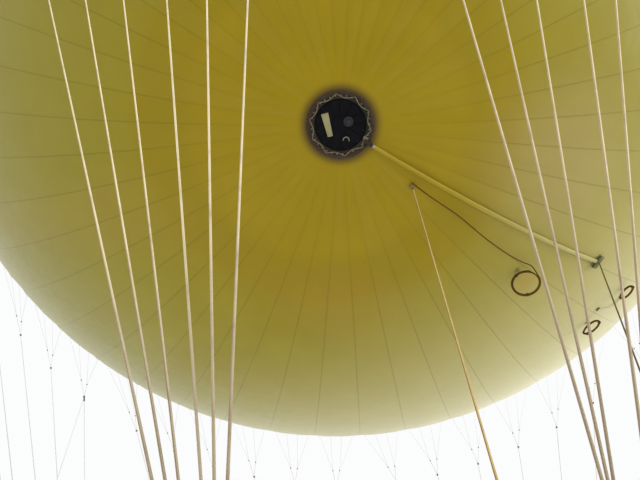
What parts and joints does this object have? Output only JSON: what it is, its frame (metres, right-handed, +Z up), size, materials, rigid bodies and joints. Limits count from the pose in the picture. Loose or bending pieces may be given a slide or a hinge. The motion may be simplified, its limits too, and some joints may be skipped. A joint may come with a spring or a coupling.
{
  "type": "tethered gas balloon",
  "caption": "Captive gas balloon: round yellow envelope with valves, rope bridles to a load ring, a tether swivel and a ring-shaped gondola with gates.",
  "frame": {"origin": "centre of the round envelope, where the surrounding air holds the balloon up", "axes": "+Z up along the balloon's axis, from the gondola to the crown; +Y the way the picture's lower edge faces; +X to the right"},
  "size_m": [21.9942, 21.9774, 33.4538],
  "materials": {
    "yellow_fabric": "coated, slight sheen",
    "pale_fabric": "coated",
    "rope": "laid polyester rope",
    "dark_rope": "weathered rope",
    "grey_metal": "satin",
    "aluminium": "satin",
    "dark_plate": "matte",
    "beige_plate": "matte",
    "rubber": "matte",
    "deck": "non-slip",
    "white_paint": "satin"
  },
  "bodies": {
    "balloon": {"envelope_shell": "yellow_fabric", "crown_collar": "grey_metal", "valve_collar": "grey_metal", "fill_port": "aluminium", "fill_sleeve": "pale_fabric", "sleeve_clamp": "dark_plate", "sleeve_tie": "dark_rope", "line_eye": "pale_fabric", "control_line": "rope", "slack_line": "dark_rope", "coil_1": "dark_rope", "coil_1_eye": "pale_fabric", "coil_2": "dark_rope", "coil_2_eye": "pale_fabric", "coil_3": "dark_rope", "coil_3_eye": "pale_fabric", "bridle_1": "rope", "bridle_2": "rope", "bridle_3": "rope", "bridle_4": "rope", "bridle_5": "rope", "bridle_6": "rope", "bridle_7": "rope", "bridle_8": "rope", "load_ring": "grey_metal", "load_cell": "aluminium", "inner_rail": "aluminium", "stay_1": "grey_metal", "stay_2": "grey_metal", "stay_3": "grey_metal", "stay_4": "grey_metal", "stay_5": "grey_metal", "stay_6": "grey_metal", "stay_7": "grey_metal", "stay_8": "grey_metal", "gondola_deck": "deck", "gondola_underframe": "grey_metal", "gondola_fender": "rubber", "outer_rail_1": "white_paint", "outer_rail_2": "white_paint", "control_box": "dark_plate"},
    "bottom_valve": {"valve_lid": "dark_plate", "valve_strut": "beige_plate", "valve_boss": "grey_metal"},
    "crown_valve": {"crown_lid": "dark_plate"},
    "swivel": {"tether_swivel": "grey_metal"},
    "right_gate": {"gate_1": "white_paint"},
    "left_gate": {"gate_2": "white_paint"}
  },
  "joints": [
    {"name": "bottom_valve_slide", "type": "slide", "parent": "balloon", "child": "bottom_valve", "axis": [0, 0, 1], "range_m": [0, 0.08], "stiffness_N_per_m": 4000, "springref_m": -0.02},
    {"name": "crown_valve_slide", "type": "slide", "parent": "balloon", "child": "crown_valve", "axis": [0, 0, -1], "range_m": [0, 0.08], "stiffness_N_per_m": 4000, "springref_m": -0.08},
    {"name": "tether_swivel_turn", "type": "hinge", "parent": "balloon", "child": "swivel", "pos_m": [0, 0, -20.3563], "axis": [0, 0, 1], "continuous": true},
    {"name": "right_gate_swing", "type": "hinge", "parent": "balloon", "child": "right_gate", "pos_m": [2.7967, 0.38526, -21.61], "axis": [0, 0, -1], "range_deg": [0, 90]},
    {"name": "left_gate_swing", "type": "hinge", "parent": "balloon", "child": "left_gate", "pos_m": [-2.7967, -0.38526, -21.61], "axis": [0, 0, -1], "range_deg": [0, 90]}
  ]
}
